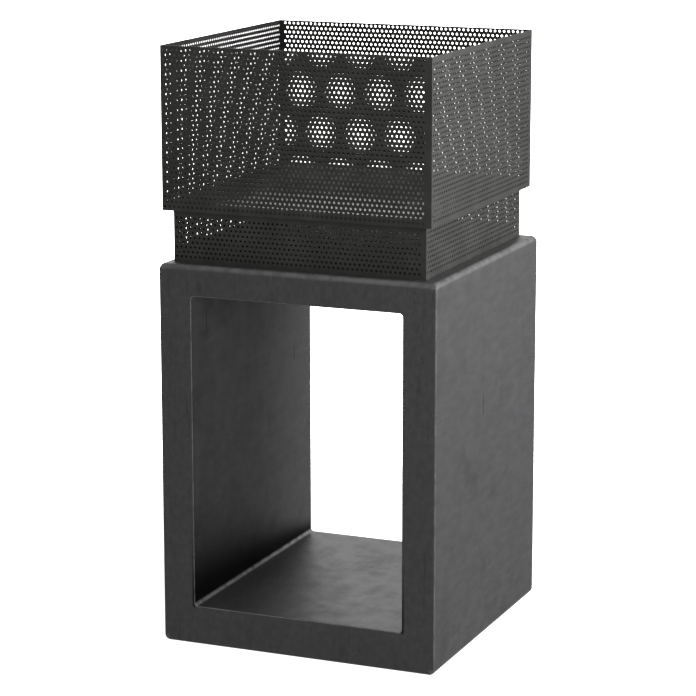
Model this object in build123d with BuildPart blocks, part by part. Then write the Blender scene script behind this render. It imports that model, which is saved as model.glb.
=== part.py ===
"""A square fire basket of perforated sheet steel on a cast pedestal with a log opening.

The origin is on the ground, in the middle of the pedestal's footprint. +Z is up and -Y is the front.
The perforation of the sheets is not cut here: each perforated sheet is a plain sheet of the same outline.
"""

import os

from build123d import *

os.makedirs("parts", exist_ok=True)

# Pedestal
PEDESTAL_WIDTH = 356.0
PEDESTAL_HEIGHT = 472.0
SIDE_WALL = 42.0
TOP_WALL = 38.0
BOTTOM_WALL = 48.0
OUTER_CORNER_RADIUS = 7.0
OUTER_EDGE_RADIUS = 2.0
OPENING_CORNER_RADIUS = 4.5
OPENING_EDGE_RADIUS = 1.2

# Basket, which rests on the pedestal a little off its middle
BASKET_X = -5.0
BASKET_Y = 5.0
SHEET = 0.8
ASH_BOX_WIDTH = 325.0
ASH_BOX_HEIGHT = 62.0
FIRE_BOX_WIDTH = 345.0
FIRE_BOX_HEIGHT = 197.0
CORNER_RADIUS = 0.7
SIDES = ("front", "right", "back", "left")

# Loose pieces inside the basket
GRATE_CLEARANCE = 1.0
GRATE_SKIRT = 10.0
TRAY_CLEARANCE = 4.0
TRAY_HEIGHT = 14.0
TRAY_BEND_RADIUS = 3.0

basket_bottom = PEDESTAL_HEIGHT
ash_box_floor = basket_bottom + SHEET
ledge_bottom = basket_bottom + ASH_BOX_HEIGHT
ledge_top = ledge_bottom + SHEET
basket_top = ledge_bottom + FIRE_BOX_HEIGHT


def basket_plane(height):
    """The horizontal plane at a height whose origin is on the basket's middle line."""
    return Plane((BASKET_X, BASKET_Y, height))


def finish(builder, name):
    """Label a piece and write it to its own file."""
    builder.part.label = name
    export_step(builder.part, f"parts/{name}.step")


def make_pedestal():
    """The cast frame: a rounded block with one rounded opening from front to back."""
    opening_width = PEDESTAL_WIDTH - 2 * SIDE_WALL
    opening_height = PEDESTAL_HEIGHT - TOP_WALL - BOTTOM_WALL
    opening_middle = BOTTOM_WALL + opening_height / 2
    with BuildPart() as pedestal:
        with BuildSketch():
            Rectangle(PEDESTAL_WIDTH, PEDESTAL_WIDTH)
        extrude(amount=PEDESTAL_HEIGHT)
        fillet(pedestal.edges().filter_by(Axis.Y), OUTER_CORNER_RADIUS)
        ends = pedestal.faces().filter_by(Axis.Y).sort_by(Axis.Y)
        fillet(ends[0].edges() + ends[-1].edges(), OUTER_EDGE_RADIUS)
        with BuildSketch(Plane.XZ):
            with Locations((0, opening_middle)):
                RectangleRounded(opening_width, opening_height, OPENING_CORNER_RADIUS)
        extrude(amount=PEDESTAL_WIDTH, both=True, mode=Mode.SUBTRACT)
        outlines = pedestal.faces().filter_by(Axis.Y).sort_by(Axis.Y)
        rims = outlines[0].inner_wires().edges() + outlines[-1].inner_wires().edges()
        fillet(rims, OPENING_EDGE_RADIUS)
    finish(pedestal, "pedestal")


def make_walls(box_name, box_width, bottom, top):
    """The four like sheets of one box. Each covers the end of the next one round, like a pinwheel."""
    for turn, side in enumerate(SIDES):
        outward = basket_plane(bottom).rotated((0, 0, 90 * turn))
        with BuildPart() as panel:
            with BuildSketch(outward):
                with Locations((SHEET / 2, (SHEET - box_width) / 2)):
                    Rectangle(box_width - SHEET, SHEET)
            extrude(amount=top - bottom)
            upright = panel.edges().filter_by(Axis.Z)
            corner = outward.from_local_coords((box_width / 2, -box_width / 2, (top - bottom) / 2))
            fillet(upright.sort_by_distance(corner)[0], CORNER_RADIUS)
        finish(panel, f"{box_name}_{side}_panel")


def make_step_ledge():
    """The ring that carries the wide box's walls and the grate on top of the narrow box's walls."""
    opening = ASH_BOX_WIDTH - 2 * SHEET
    with BuildPart() as step_ledge:
        with BuildSketch(basket_plane(ledge_bottom)):
            RectangleRounded(FIRE_BOX_WIDTH, FIRE_BOX_WIDTH, CORNER_RADIUS)
            Rectangle(opening, opening, mode=Mode.SUBTRACT)
        extrude(amount=SHEET)
    finish(step_ledge, "step_ledge")


def make_base_plate():
    """The closed sheet under the narrow box, which stands on the pedestal."""
    with BuildPart() as base_plate:
        with BuildSketch(basket_plane(basket_bottom)):
            RectangleRounded(ASH_BOX_WIDTH, ASH_BOX_WIDTH, CORNER_RADIUS)
        extrude(amount=SHEET)
    finish(base_plate, "base_plate")


def make_fire_grate():
    """The grate: a sheet with a skirt turned down all round, standing on the ledge."""
    width = FIRE_BOX_WIDTH - 2 * (SHEET + GRATE_CLEARANCE)
    with BuildPart() as fire_grate:
        with BuildSketch(basket_plane(ledge_top)):
            RectangleRounded(width, width, TRAY_BEND_RADIUS)
        extrude(amount=GRATE_SKIRT)
        fillet(fire_grate.edges().group_by(Axis.Z)[-1], SHEET)
        with BuildSketch(basket_plane(ledge_top)):
            RectangleRounded(width - 2 * SHEET, width - 2 * SHEET, TRAY_BEND_RADIUS - SHEET)
        extrude(amount=GRATE_SKIRT - SHEET, mode=Mode.SUBTRACT)
    finish(fire_grate, "fire_grate")


def make_ash_tray():
    """The tray: a shallow pan folded from one sheet, lying on the base plate."""
    width = ASH_BOX_WIDTH - 2 * (SHEET + TRAY_CLEARANCE)
    with BuildPart() as ash_tray:
        with BuildSketch(basket_plane(ash_box_floor)):
            RectangleRounded(width, width, TRAY_BEND_RADIUS)
        extrude(amount=TRAY_HEIGHT)
        with BuildSketch(basket_plane(ash_box_floor + SHEET)):
            RectangleRounded(width - 2 * SHEET, width - 2 * SHEET, TRAY_BEND_RADIUS - SHEET)
        extrude(amount=TRAY_HEIGHT - SHEET, mode=Mode.SUBTRACT)
    finish(ash_tray, "ash_tray")


make_pedestal()
make_base_plate()
make_walls("lower", ASH_BOX_WIDTH, ash_box_floor, ledge_bottom)
make_step_ledge()
make_walls("upper", FIRE_BOX_WIDTH, ledge_top, basket_top)
make_fire_grate()
make_ash_tray()
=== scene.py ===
"""Looks of a perforated steel fire basket on a cast stone-like pedestal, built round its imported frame."""

import math

import bpy
import numpy as np
from mathutils import Matrix, Vector


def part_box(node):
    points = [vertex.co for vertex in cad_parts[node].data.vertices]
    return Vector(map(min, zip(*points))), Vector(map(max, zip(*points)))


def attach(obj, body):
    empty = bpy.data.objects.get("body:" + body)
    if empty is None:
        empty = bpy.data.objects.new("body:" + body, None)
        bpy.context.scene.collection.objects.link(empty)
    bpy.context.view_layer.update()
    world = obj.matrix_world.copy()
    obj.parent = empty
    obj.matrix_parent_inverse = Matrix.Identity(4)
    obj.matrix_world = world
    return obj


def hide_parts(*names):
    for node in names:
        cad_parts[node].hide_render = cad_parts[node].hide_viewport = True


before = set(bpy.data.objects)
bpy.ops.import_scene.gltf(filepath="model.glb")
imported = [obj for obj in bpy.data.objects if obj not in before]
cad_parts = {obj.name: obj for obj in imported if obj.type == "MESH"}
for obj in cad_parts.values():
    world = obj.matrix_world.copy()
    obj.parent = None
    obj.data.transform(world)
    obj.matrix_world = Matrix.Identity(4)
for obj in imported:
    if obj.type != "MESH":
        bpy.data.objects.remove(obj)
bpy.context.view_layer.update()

# All lengths are in metres, and a box name, such as upper, is the first word of its panels' names.
HOLE_PITCH = 0.006
ROW_PITCH = 0.00583
HOLE_RADIUS = 0.0015
HOLE_SIDES = 12
PANEL_SIDES = ("front", "right", "back", "left")
SHARP_ANGLE = math.radians(40)
KEYS_PER_METRE = 1e7
TOUCH = 1e-6


# ---------------------------------------------------------------- mesh helpers


def new_object(name, points, faces):
    """An object at the origin from points and faces of any length, smooth but for its sharp edges."""
    mesh = bpy.data.meshes.new(name)
    mesh.from_pydata([tuple(p) for p in points], [], faces)
    mesh.validate()
    mesh.update()
    mesh.polygons.foreach_set("use_smooth", [True] * len(mesh.polygons))
    mesh.set_sharp_from_angle(angle=SHARP_ANGLE)
    obj = bpy.data.objects.new(name, mesh)
    bpy.context.scene.collection.objects.link(obj)
    return obj


class Pattern:
    """A flat pattern of shared points and faces, thickened into a sheet afterwards."""

    def __init__(self):
        self.points = []
        self.index = {}
        self.faces = []

    def point(self, u, v):
        """The number of the point at u, v. Faces that meet there share it."""
        key = (round(u * KEYS_PER_METRE), round(v * KEYS_PER_METRE))
        if key not in self.index:
            self.index[key] = len(self.points)
            self.points.append((u, v))
        return self.index[key]

    def face(self, corners):
        """One face, whose corners are given anticlockwise seen from outside."""
        self.faces.append([self.point(u, v) for u, v in corners])

    def strip(self, us, low, high):
        """A row of rectangles between two heights, split at every u."""
        for left, right in zip(us[:-1], us[1:]):
            self.face([(left, low), (right, low), (right, high), (left, high)])

    def holed_cell(self, u, v):
        """One rectangle of the lattice, in triangles round the hole at u, v.

        Its upper and lower sides have a middle point, where the staggered rows next to it have corners.
        """
        half_u = HOLE_PITCH / 2
        half_v = ROW_PITCH / 2
        upper_rim = [(half_u, half_v), (0, half_v), (-half_u, half_v)]
        lower_rim = [(-half_u, -half_v), (0, -half_v), (half_u, -half_v)]
        rim = upper_rim + lower_rim
        rim_angles = [math.atan2(b, a) % math.tau for a, b in rim]
        hole_angles = [math.tau * (k + 0.5) / HOLE_SIDES for k in range(HOLE_SIDES)]
        ring = [("rim", angle, k) for k, angle in enumerate(rim_angles)]
        ring += [("hole", angle, k) for k, angle in enumerate(hole_angles)]
        ring.sort(key=lambda step: step[1])
        rim_points = [self.point(u + a, v + b) for a, b in rim]
        hole_points = [
            self.point(u + HOLE_RADIUS * math.cos(angle), v + HOLE_RADIUS * math.sin(angle))
            for angle in hole_angles
        ]
        last_rim = rim_points[-1]
        last_hole = hole_points[-1]
        for kind, _, k in ring:
            if kind == "rim":
                self.faces.append([last_rim, rim_points[k], last_hole])
                last_rim = rim_points[k]
            else:
                self.faces.append([last_rim, hole_points[k], last_hole])
                last_hole = hole_points[k]

    def lattice(self, width, height, left, top, columns, rows):
        """A whole sheet: staggered holes between solid margins. Every other row holds one hole fewer."""
        end = left + columns * HOLE_PITCH
        half_steps = [left + k * HOLE_PITCH / 2 for k in range(2 * columns + 1)]
        across = [0.0] + half_steps + [width]
        lattice_top = height - top
        lattice_bottom = lattice_top - rows * ROW_PITCH
        self.strip(across, lattice_top, height)
        self.strip(across, 0.0, lattice_bottom)
        for row in range(rows):
            high = lattice_top - row * ROW_PITCH
            low = high - ROW_PITCH
            middle = (low + high) / 2
            shifted = row % 2
            self.strip([0.0, left], low, high)
            self.strip([end, width], low, high)
            if shifted:
                self.strip([left, left + HOLE_PITCH / 2], low, high)
                self.strip([end - HOLE_PITCH / 2, end], low, high)
            for column in range(columns - shifted):
                self.holed_cell(left + (column + (1 + shifted) / 2) * HOLE_PITCH, middle)

    def sheet(self, thickness, place):
        """Points and faces of the pattern as a closed sheet. place turns (u, v, w) into a point."""
        count = len(self.points)
        points = [place(u, v, thickness) for u, v in self.points]
        points += [place(u, v, 0.0) for u, v in self.points]
        faces = [list(face) for face in self.faces]
        faces += [[corner + count for corner in reversed(face)] for face in self.faces]
        edges = set()
        for face in self.faces:
            for a, b in zip(face, face[1:] + face[:1]):
                edges.add((a, b))
        for a, b in edges:
            if (b, a) not in edges:
                faces.append([b, a, a + count, b + count])
        return points, faces


def rounded_rectangle(width, depth, radius, side_steps, arc_steps):
    """Points round a rectangle with rounded corners, anticlockwise from the top of its right side."""
    points = []
    corners = ((1, 1), (-1, 1), (-1, -1), (1, -1))
    for k, (sign_x, sign_y) in enumerate(corners):
        centre_x = sign_x * (width / 2 - radius)
        centre_y = sign_y * (depth / 2 - radius)
        for step in range(arc_steps + 1):
            angle = math.pi / 2 * (k + step / arc_steps)
            points.append((centre_x + radius * math.cos(angle), centre_y + radius * math.sin(angle)))
        next_x, next_y = corners[(k + 1) % 4]
        angle = math.pi / 2 * (k + 1)
        target_x = next_x * (width / 2 - radius) + radius * math.cos(angle)
        target_y = next_y * (depth / 2 - radius) + radius * math.sin(angle)
        last_x, last_y = points[-1]
        for step in range(1, side_steps):
            share = step / side_steps
            points.append((last_x + (target_x - last_x) * share, last_y + (target_y - last_y) * share))
    return points


def loft(loops):
    """Points and faces between loops of the same length, and from the last loop back to the first."""
    count = len(loops[0])
    points = [p for loop in loops for p in loop]
    faces = []
    for row in range(len(loops)):
        a = row * count
        b = (row + 1) % len(loops) * count
        for k in range(count):
            n = (k + 1) % count
            faces.append([a + k, a + n, b + n, b + k])
    return points, faces


# ---------------------------------------------------------------- materials


RANGE_SOCKETS = ("From Min", "From Max", "To Min", "To Max")


class Shading:
    """A material under construction: its nodes and the few kinds of link that the surfaces here need.

    Each method that makes a node returns its output, except drive, which feeds a value to the shader.
    """

    def __init__(self, name, base, roughness, specular):
        self.material = bpy.data.materials.new(name)
        self.material.use_nodes = True
        self.tree = self.material.node_tree
        self.shader = self.tree.nodes["Principled BSDF"]
        self.shader.inputs["Base Color"].default_value = (*base, 1.0)
        self.shader.inputs["Roughness"].default_value = roughness
        self.shader.inputs["Specular IOR Level"].default_value = specular
        coordinates = self.tree.nodes.new("ShaderNodeTexCoord")
        self.place = coordinates.outputs["Object"]

    def stretched(self, scale):
        """The object's own coordinates, times a scale along each axis, per metre."""
        mapping = self.tree.nodes.new("ShaderNodeMapping")
        mapping.inputs["Scale"].default_value = scale
        self.tree.links.new(self.place, mapping.inputs["Vector"])
        return mapping.outputs["Vector"]

    def noise(self, scale, detail=3.0, roughness=0.5):
        made = self.tree.nodes.new("ShaderNodeTexNoise")
        made.inputs["Scale"].default_value = 1.0
        made.inputs["Detail"].default_value = detail
        made.inputs["Roughness"].default_value = roughness
        self.tree.links.new(self.stretched(scale), made.inputs["Vector"])
        return made.outputs["Fac"]

    def cells(self, scale):
        """Distance to the nearest of many scattered points."""
        made = self.tree.nodes.new("ShaderNodeTexVoronoi")
        made.inputs["Scale"].default_value = 1.0
        self.tree.links.new(self.stretched(scale), made.inputs["Vector"])
        return made.outputs["Distance"]

    def remap(self, value, low, high, new_low, new_high):
        """The value eased from the range low to high onto the range new_low to new_high."""
        made = self.tree.nodes.new("ShaderNodeMapRange")
        made.interpolation_type = "SMOOTHSTEP"
        for socket, number in zip(RANGE_SOCKETS, (low, high, new_low, new_high)):
            made.inputs[socket].default_value = number
        self.tree.links.new(value, made.inputs["Value"])
        return made.outputs["Result"]

    def math(self, operation, a, b):
        made = self.tree.nodes.new("ShaderNodeMath")
        made.operation = operation
        for socket, value in zip(made.inputs, (a, b)):
            if isinstance(value, (int, float)):
                socket.default_value = value
            else:
                self.tree.links.new(value, socket)
        return made.outputs["Value"]

    def blend(self, factor, first, second, mode="MIX"):
        """Two colours mixed. A Mix node's colours are its inputs 6 and 7, and its output 2."""
        made = self.tree.nodes.new("ShaderNodeMix")
        made.data_type = "RGBA"
        made.blend_type = mode
        sockets = (made.inputs[0], made.inputs[6], made.inputs[7])
        for socket, value in zip(sockets, (factor, first, second)):
            if isinstance(value, tuple):
                socket.default_value = (*value, 1.0)
            elif isinstance(value, (int, float)):
                socket.default_value = value
            else:
                self.tree.links.new(value, socket)
        return made.outputs[2]

    def attribute(self, name):
        made = self.tree.nodes.new("ShaderNodeAttribute")
        made.attribute_name = name
        return made.outputs["Fac"]

    def drive(self, socket, value):
        self.tree.links.new(value, self.shader.inputs[socket])

    def bump(self, height, distance, strength, under=None):
        """A normal that follows a height, on top of the bump that lies under it."""
        made = self.tree.nodes.new("ShaderNodeBump")
        made.inputs["Strength"].default_value = strength
        made.inputs["Distance"].default_value = distance
        self.tree.links.new(height, made.inputs["Height"])
        if under is not None:
            self.tree.links.new(under, made.inputs["Normal"])
        return made.outputs["Normal"]


def make_black_steel():
    """Satin black powder coat: faint orange peel, a little dust in its tone, gloss that varies slowly."""
    steel = Shading("black_steel", (0.025, 0.025, 0.023), 0.42, 0.5)
    dust = steel.remap(steel.noise((35, 35, 35), detail=5), 0.40, 0.75, 0.0, 1.0)
    steel.drive("Base Color", steel.blend(dust, (0.020, 0.020, 0.018), (0.032, 0.032, 0.029)))
    steel.drive("Roughness", steel.remap(steel.noise((14, 14, 14)), 0.3, 0.7, 0.38, 0.52))
    steel.drive("Normal", steel.bump(steel.noise((1500, 1500, 1500), detail=1), 0.0001, 0.5))
    return steel.material


def make_cast_stone():
    """Charcoal cast stone, smoothed by rubbing: faint clouds, smears, scars, pores, painted shade low in the
    opening, and edges paled partly by wear and partly by painted highlight.
    """
    stone = Shading("cast_stone", (0.050, 0.050, 0.052), 0.48, 0.5)
    clouds = stone.remap(stone.noise((9, 9, 7), detail=4), 0.3, 0.7, 0.0, 1.0)
    tone = stone.blend(clouds, (0.047, 0.047, 0.049), (0.052, 0.052, 0.0545))
    mottle = stone.remap(stone.noise((150, 35, 110), detail=6, roughness=0.7), 0.3, 0.7, 0.82, 1.16)
    tone = stone.blend(1.0, tone, mottle, "MULTIPLY")
    smears = stone.remap(stone.noise((150, 9, 14), detail=4, roughness=0.7), 0.54, 0.75, 1.0, 0.66)
    tone = stone.blend(1.0, tone, smears, "MULTIPLY")
    # Painted shade: darkens the stone low on the opening's side walls, more so at the front.
    painted_shade = stone.attribute("painted_shade")
    shade_factor = stone.remap(painted_shade, 0.0, 1.0, 1.0, 0.12)
    tone = stone.blend(1.0, tone, shade_factor, "MULTIPLY")
    # Paler rounded edges: partly wear, partly painted highlight where the edges catch the light.
    edge = stone.attribute("edge")
    wear_and_highlight_patches = stone.remap(stone.noise((60, 60, 60), detail=4), 0.35, 0.6, 0.5, 1.0)
    wear_and_highlight = stone.math("MULTIPLY", edge, wear_and_highlight_patches)
    tone = stone.blend(wear_and_highlight, tone, (0.24, 0.24, 0.235))
    distance = stone.cells((90, 70, 9))
    scar_zone = stone.remap(stone.noise((14, 14, 9), detail=1), 0.60, 0.66, 0.0, 1.0)
    scars = stone.math("MULTIPLY", stone.remap(distance, 0.08, 0.2, 1.0, 0.0), scar_zone)
    distance = stone.cells((150, 150, 150))
    pore_zone = stone.remap(stone.noise((30, 30, 22), detail=2), 0.60, 0.68, 0.0, 1.0)
    pores = stone.math("MULTIPLY", stone.remap(distance, 0.10, 0.20, 1.0, 0.0), pore_zone)
    pits = stone.math("MAXIMUM", pores, scars)
    stone.drive("Base Color", stone.blend(pits, tone, (0.014, 0.014, 0.014)))
    stone.drive("Roughness", stone.remap(stone.noise((40, 40, 30), detail=4), 0.3, 0.7, 0.44, 0.52))
    # The painted shade also takes the reflection away there.
    stone.drive("Specular IOR Level", stone.remap(painted_shade, 0.0, 1.0, 0.5, 0.03))
    grain = stone.bump(stone.noise((500, 500, 300), detail=3), 0.0004, 0.10)
    trowel = stone.bump(stone.noise((60, 60, 12), detail=4), 0.0008, 0.03, under=grain)
    stone.drive("Normal", stone.bump(stone.math("SUBTRACT", 1.0, pits), 0.0006, 0.5, under=trowel))
    return stone.material


black_steel = make_black_steel()
cast_stone = make_cast_stone()


# ---------------------------------------------------------------- basket


def panel_place(low, high, side):
    """The map from a panel's own u (rightwards seen from outside), v (up) and w (outwards) to space."""
    if side == "front":
        return lambda u, v, w: (low.x + u, high.y - w, low.z + v)
    if side == "right":
        return lambda u, v, w: (low.x + w, low.y + u, low.z + v)
    if side == "back":
        return lambda u, v, w: (high.x - u, low.y + w, low.z + v)
    return lambda u, v, w: (high.x - w, high.y - u, low.z + v)


# Solid margins of the walls. They differ from sheet to sheet, and so set how the rows of holes overlap.
TOP_MARGINS = {
    "upper": {"front": 0.0022, "right": 0.0055, "back": 0.0006, "left": 0.0040},
    "lower": {"front": 0.0066, "right": 0.0045, "back": 0.0015, "left": 0.0015},
}
CORNER_EASE = 0.0005
LEFT_MARGINS = {"front": 0.0003, "right": 0.0003, "back": 0.0033, "left": 0.0003}
RIGHT_MARGIN = 0.0060
BOTTOM_MARGIN = 0.0015


def make_panel(box_name, side):
    """One perforated wall of a box, on the outline of its plain CAD sheet."""
    name = f"{box_name}_{side}_panel"
    low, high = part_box(name)
    width = max(high.x - low.x, high.y - low.y)
    height = high.z - low.z
    thickness = min(high.x - low.x, high.y - low.y)
    top = TOP_MARGINS[box_name][side]
    left = LEFT_MARGINS[side]
    columns = round((width - left - RIGHT_MARGIN) / HOLE_PITCH)
    rows = math.floor((height - top - BOTTOM_MARGIN) / ROW_PITCH)
    pattern = Pattern()
    pattern.lattice(width, height, left, top, columns, rows)
    place = panel_place(low, high, side)

    def eased(u, v, w):
        """The sheet's outer corner, eased where it covers the next sheet's end."""
        at_corner = u > width - TOUCH and w > thickness / 2
        return place(u - CORNER_EASE if at_corner else u, v, w)

    points, faces = pattern.sheet(thickness, eased)
    panel = new_object(f"perforated_{name}", points, faces)
    panel.data.materials.append(black_steel)
    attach(panel, "basket")
    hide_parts(name)


for box_name in TOP_MARGINS:
    for side in PANEL_SIDES:
        make_panel(box_name, side)


GRATE_MARGIN = 0.005
GRATE_CORNER = 0.003
LEAST_GRATE_CORNER = 0.0005
BEND_IN_SHEETS = 1.5
BEND_STEPS = 5
SKIRT_SIDE_STEPS = 4
SKIRT_ARC_STEPS = 5


def make_grate():
    """The perforated grate: its holed top, and its skirt, turned down all round on a tight bend."""
    low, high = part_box("fire_grate")
    width = high.x - low.x
    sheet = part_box("base_plate")[1].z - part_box("base_plate")[0].z
    bend = BEND_IN_SHEETS * sheet
    plate_width = width - 2 * bend
    columns = math.floor((plate_width - 2 * GRATE_MARGIN) / HOLE_PITCH)
    rows = math.floor((plate_width - 2 * GRATE_MARGIN) / ROW_PITCH)
    left = (plate_width - columns * HOLE_PITCH) / 2
    top = (plate_width - rows * ROW_PITCH) / 2
    pattern = Pattern()
    pattern.lattice(plate_width, plate_width, left, top, columns, rows)
    points, faces = pattern.sheet(
        sheet, lambda u, v, w: (low.x + bend + u, low.y + bend + v, high.z - sheet + w)
    )
    centre = (low + high) / 2
    outline = []
    for step in range(BEND_STEPS + 1):
        angle = math.pi / 2 * step / BEND_STEPS
        outline.append((bend * (1 - math.sin(angle)), high.z - bend * (1 - math.cos(angle))))
    outline.append((0.0, low.z))
    outline.append((sheet, low.z))
    outline.append((sheet, high.z - bend))
    outline.append((bend, high.z - sheet))
    loops = []
    for inset, z in outline:
        size = width - 2 * inset
        corner = max(GRATE_CORNER - inset, LEAST_GRATE_CORNER)
        loop = rounded_rectangle(size, size, corner, SKIRT_SIDE_STEPS, SKIRT_ARC_STEPS)
        loops.append([(centre.x + x, centre.y + y, z) for x, y in loop])
    skirt_points, skirt_faces = loft(loops)
    offset = len(points)
    points += skirt_points
    faces += [[corner + offset for corner in face] for face in skirt_faces]
    grate = new_object("perforated_grate", points, faces)
    grate.data.materials.append(black_steel)
    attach(grate, "grate")
    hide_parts("fire_grate")


make_grate()

# These plain sheets keep the shape that they have in the frame.
for name in ("base_plate", "step_ledge", "ash_tray"):
    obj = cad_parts[name]
    obj.data.materials.clear()
    obj.data.materials.append(black_steel)


# ---------------------------------------------------------------- pedestal


OUTER_CORNER = 0.007
OUTER_EDGE = 0.002
TOP_EDGE = 0.0068
OPENING_CORNER = 0.0045
OPENING_EDGE = 0.0012
SIDE_WALL = 0.042
TOP_WALL = 0.038
BOTTOM_WALL = 0.048
# How high the painted shade on the opening's side walls reaches, at the front and at the back.
SHADE_REACH_FRONT = 0.075
SHADE_REACH_BACK = 0.018
LEAST_CORNER = 0.0002
INSET_STEP = 0.001
SIDE_STEPS = 64
ARC_STEPS = 6
DEPTH_RINGS = 50
ROUND_RINGS = 8
FACE_RINGS = 12
# How pale the outer corners and the opening's mouth are painted: partly wear, partly painted highlight.
CORNER_WEAR_AND_HIGHLIGHT = 0.5
MOUTH_WEAR_AND_HIGHLIGHT = 0.7


def make_pedestal():
    """The cast frame as one closed band round its opening.

    Its top edges at the front and back are rounder than the others. The edge attribute marks the rounded
    edges that are painted pale, partly as wear and partly as painted highlight. The other attribute paints
    shade on the opening's side walls: darkest at its floor, fading upwards, and reaching higher at the
    front.
    A ring is a loop of x and z, its y or the y of each of its points, and the edge values of its points.
    """
    low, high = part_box("pedestal")
    middle = (low + high) / 2
    width, depth, height = high - low
    opening_width = width - 2 * SIDE_WALL
    opening_height = height - TOP_WALL - BOTTOM_WALL
    opening_lift = (BOTTOM_WALL - TOP_WALL) / 2

    def outer_loop(inset):
        radius = max(OUTER_CORNER - inset, LEAST_CORNER)
        loop = rounded_rectangle(width - 2 * inset, height - 2 * inset, radius, SIDE_STEPS, ARC_STEPS)
        return np.array(loop)

    def opening_loop(outset):
        across = opening_width + 2 * outset
        up = opening_height + 2 * outset
        loop = rounded_rectangle(across, up, OPENING_CORNER + outset, SIDE_STEPS, ARC_STEPS)
        return np.array(loop) + (0.0, opening_lift)

    straight = [0.0] * (SIDE_STEPS - 1)
    arc = [math.sin(math.pi * step / ARC_STEPS) for step in range(ARC_STEPS + 1)]
    # Edge values: the outer corners' arcs and the opening's bottom corners are painted pale, partly as wear
    # and partly as painted highlight.
    on_corner = CORNER_WEAR_AND_HIGHLIGHT * np.array(4 * (arc + straight))
    at_foot = np.array(2 * ([0.0] * len(arc) + straight) + 2 * (arc + straight))
    half = depth / 2
    outline = outer_loop(0.0)
    inward = (outer_loop(INSET_STEP) - outline) / INSET_STEP
    upper = np.clip((outline[:, 1] - (height / 2 - OUTER_CORNER)) / OUTER_CORNER, 0, 1)
    rounding = OUTER_EDGE + (TOP_EDGE - OUTER_EDGE) * upper
    outer = [(outline, share * (half - rounding), on_corner) for share in np.linspace(-1, 1, DEPTH_RINGS)]
    round_angles = np.linspace(0, math.pi / 2, ROUND_RINGS)[1:]
    back_round = []
    for angle in round_angles:
        loop = outline + inward * (rounding * (1 - math.cos(angle)))[:, None]
        y = half - rounding * (1 - math.sin(angle))
        back_round.append((loop, y, np.maximum(CORNER_WEAR_AND_HIGHLIGHT * math.sin(2 * angle), on_corner)))
    rim = outline + inward * rounding[:, None]
    mouth = opening_loop(OPENING_EDGE)
    flat = np.zeros(len(rim))
    face_shares = np.linspace(0, 1, FACE_RINGS)[1:]
    back_face = [(rim + (mouth - rim) * share, half, flat) for share in face_shares]
    back_mouth = []
    for angle in round_angles:
        outset = OPENING_EDGE * (1 - math.sin(angle))
        y = half - OPENING_EDGE * (1 - math.cos(angle))
        # The mouth's rounding is painted pale: partly wear, partly painted highlight.
        edge = np.maximum(MOUTH_WEAR_AND_HIGHLIGHT * math.sin(2 * angle), at_foot)
        back_mouth.append((opening_loop(outset), y, edge))
    inner_ys = np.linspace(half - OPENING_EDGE, -half + OPENING_EDGE, DEPTH_RINGS)[1:]
    inner = [(opening_loop(0.0), y, at_foot) for y in inner_ys]

    def mirrored(rings):
        """The same rings at the front, in the opposite order."""
        return [(loop, -y, edge) for loop, y, edge in reversed(rings)]

    rings = outer + back_round + back_face + back_mouth + inner
    rings += mirrored(back_mouth[:-1]) + mirrored(back_face) + mirrored(back_round)
    loops = []
    for loop, ys, _ in rings:
        ys = np.broadcast_to(ys, len(loop))
        loops.append([(middle.x + x, middle.y + y, middle.z + z) for (x, z), y in zip(loop, ys)])
    points, faces = loft(loops)
    edges = np.concatenate([edge for _, _, edge in rings])
    above = np.array([z - low.z - BOTTOM_WALL for _, _, z in points])
    aside = np.array([opening_width / 2 + OPENING_EDGE - abs(x - middle.x) for x, _, _ in points])
    on_wall = (aside > -TOUCH) & (aside < OPENING_CORNER / 2) & (above > 0)
    share = np.array([(y - low.y) / depth for _, y, _ in points])
    reach = SHADE_REACH_FRONT + (SHADE_REACH_BACK - SHADE_REACH_FRONT) * share
    # Painted shade on the opening's side walls: darkest at its floor, fading upwards, reaching higher at the
    # front.
    painted_shade = np.where(on_wall, np.exp(-(np.maximum(above, 0) / reach) ** 2), 0.0)
    obj = new_object("cast_pedestal", points, faces)
    for name, values in (("edge", edges), ("painted_shade", painted_shade)):
        attribute = obj.data.attributes.new(name, "FLOAT", "POINT")
        attribute.data.foreach_set("value", values.astype(np.float32))
    obj.data.materials.append(cast_stone)
    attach(obj, "pedestal")
    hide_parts("pedestal")


make_pedestal()


# ---------------------------------------------------------------- stage, light and camera


FLOOR_RADIUS = 1.3
FLOOR_STEPS = 96
FADE_START = 0.35
FADE_END = 0.98


def make_floor():
    """A round floor that fades out towards its edge, so that it meets the white backdrop without a line.

    It glows, so that it stays white, but neither lights the object nor shows in it.
    """
    points = [(0, 0, 0)]
    for k in range(FLOOR_STEPS):
        angle = math.tau * k / FLOOR_STEPS
        points.append((FLOOR_RADIUS * math.cos(angle), FLOOR_RADIUS * math.sin(angle), 0))
    faces = [[0, k + 1, (k + 1) % FLOOR_STEPS + 1] for k in range(FLOOR_STEPS)]
    floor = new_object("floor", points, faces)
    pale = Shading("pale_floor", (0.85, 0.85, 0.85), 0.9, 0.1)
    distance = pale.tree.nodes.new("ShaderNodeVectorMath")
    distance.operation = "LENGTH"
    pale.tree.links.new(pale.place, distance.inputs[0])
    fade_start = FADE_START * FLOOR_RADIUS
    fade_end = FADE_END * FLOOR_RADIUS
    pale.drive("Alpha", pale.remap(distance.outputs["Value"], fade_start, fade_end, 1.0, 0.0))
    pale.shader.inputs["Emission Color"].default_value = (1, 1, 1, 1)
    pale.shader.inputs["Emission Strength"].default_value = 1.0
    floor.data.materials.append(pale.material)
    floor.visible_diffuse = False
    floor.visible_glossy = False


SPOT_BLEND = 0.3
SPOT_RADIUS = 0.08


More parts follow.
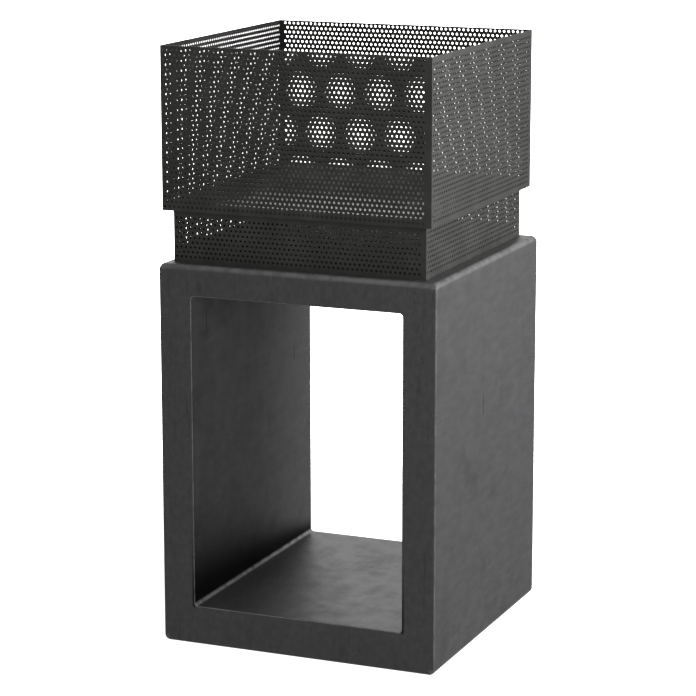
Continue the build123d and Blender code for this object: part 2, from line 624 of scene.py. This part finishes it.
def add_light(name, kind, power, towards_light):
    """A light of any kind, turned so that it shines from the direction towards_light."""
    data = bpy.data.lights.new(name, kind)
    data.energy = power
    lamp = bpy.data.objects.new(name, data)
    lamp.rotation_euler = towards_light.to_track_quat("Z", "Y").to_euler()
    bpy.context.scene.collection.objects.link(lamp)
    return lamp


def sun(name, towards_light, strength, softness):
    """A distant light. The softness is its width in the sky in degrees."""
    lamp = add_light(name, "SUN", strength, Vector(towards_light))
    lamp.data.angle = math.radians(softness)


def spot(name, position, target, cone, power):
    """A narrow spot at a position, turned towards a target. The cone is its full angle in degrees."""
    lamp = add_light(name, "SPOT", power, Vector(position) - Vector(target))
    lamp.location = position
    lamp.data.spot_size = math.radians(cone)
    lamp.data.spot_blend = SPOT_BLEND
    lamp.data.shadow_soft_size = SPOT_RADIUS


def area_light(name, position, target, size, power):
    """A rectangular soft box at a position, turned towards a target."""
    lamp = add_light(name, "AREA", power, Vector(position) - Vector(target))
    lamp.location = position
    lamp.data.shape = "RECTANGLE"
    lamp.data.size, lamp.data.size_y = size


TOWARDS_BRIGHT = (-0.5, 0.87, 0.0)
RAMP_START = 0.3
RAMP_END = 1.0


def make_world(dim, bright, backdrop):
    """A dim studio, a little brighter behind on the left, that the camera sees as a plain white backdrop."""
    world = bpy.data.worlds.new("studio")
    world.use_nodes = True
    tree = world.node_tree
    shown = tree.nodes["Background"]
    shown.inputs["Color"].default_value = (1, 1, 1, 1)
    direction = tree.nodes.new("ShaderNodeTexCoord")
    towards = tree.nodes.new("ShaderNodeVectorMath")
    towards.operation = "DOT_PRODUCT"
    towards.inputs[1].default_value = TOWARDS_BRIGHT
    tree.links.new(direction.outputs["Generated"], towards.inputs[0])
    ramp = tree.nodes.new("ShaderNodeMapRange")
    ramp.interpolation_type = "SMOOTHSTEP"
    for socket, number in zip(RANGE_SOCKETS, (RAMP_START, RAMP_END, dim, bright)):
        ramp.inputs[socket].default_value = number
    tree.links.new(towards.outputs["Value"], ramp.inputs["Value"])
    rays = tree.nodes.new("ShaderNodeLightPath")
    choose = tree.nodes.new("ShaderNodeMix")
    tree.links.new(rays.outputs["Is Camera Ray"], choose.inputs[0])
    tree.links.new(ramp.outputs["Result"], choose.inputs[2])
    choose.inputs[3].default_value = backdrop
    tree.links.new(choose.outputs[0], shown.inputs["Strength"])
    bpy.context.scene.world = world


# The camera's place and target are in pedestal widths, its lens and sensor in millimetres.
AZIMUTH = math.radians(22.86)
PITCH = math.radians(12.34)
ROLL = math.radians(-0.05)
CAMERA_DISTANCE = 9.3207
TARGET_ASIDE = -0.0191
TARGET_HEIGHT = 0.9735
LENS = 138.3
SENSOR_WIDTH = 36.0


def make_camera():
    """Stands to the right of the front and looks a little down."""
    low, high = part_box("pedestal")
    width = high.x - low.x
    right = Vector((math.cos(AZIMUTH), math.sin(AZIMUTH), 0))
    level = Vector((-math.sin(AZIMUTH), math.cos(AZIMUTH), 0))
    forward = level * math.cos(PITCH) - Vector((0, 0, math.sin(PITCH)))
    target = right * (TARGET_ASIDE * width) + Vector((0, 0, TARGET_HEIGHT * width))
    data = bpy.data.cameras.new("camera")
    data.sensor_width = SENSOR_WIDTH
    data.lens = LENS
    camera = bpy.data.objects.new("camera", data)
    camera.location = target - forward * (CAMERA_DISTANCE * width)
    rotation = forward.to_track_quat("-Z", "Y").to_matrix()
    camera.rotation_euler = (rotation @ Matrix.Rotation(ROLL, 3, "Z")).to_euler()
    bpy.context.scene.collection.objects.link(camera)
    bpy.context.scene.camera = camera


make_floor()
make_world(dim=0.33, bright=0.40, backdrop=5.0)
area_light("key", position=(1.25, 0.45, 0.75), target=(0, 0, 0.3), size=(0.8, 0.8), power=22)
area_light("fill", position=(0.9, -1.3, 0.95), target=(0, 0, 0.3), size=(0.8, 0.8), power=11)
sun("rim", towards_light=(-0.38, 0.90, 0.60), strength=0.55, softness=30)
spot("accent", position=(-0.60, 1.43, 1.79), target=(0, -0.1, 0.54), cone=12, power=60)
make_camera()
bpy.context.scene.view_settings.view_transform = "Standard"
